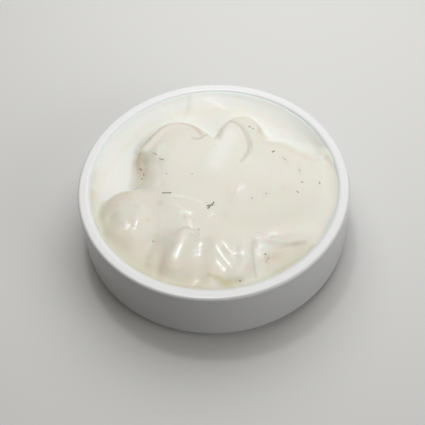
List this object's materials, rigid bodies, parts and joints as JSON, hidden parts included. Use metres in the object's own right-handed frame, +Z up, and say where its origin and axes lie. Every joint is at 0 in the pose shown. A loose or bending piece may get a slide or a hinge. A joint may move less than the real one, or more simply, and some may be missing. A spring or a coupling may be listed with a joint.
{
  "type": "portion cup of ranch sauce",
  "caption": "Round thick-walled white ceramic ramekin filled with heaped creamy white herb dip, folded and scalloped on top.",
  "frame": {"origin": "centre of the foot ring's contact face, on the ramekin's axis", "axes": "+Z up along the ramekin's axis; -Y towards the side that the heap's folds run down to, +Y towards its scalloped back edge, +X right"},
  "size_m": [0.076, 0.076, 0.0213],
  "materials": {
    "dish": "glossy white glaze",
    "sauce": "wet gloss"
  },
  "bodies": {
    "root": {"dish": "dish", "sauce": "sauce"}
  },
  "joints": []
}
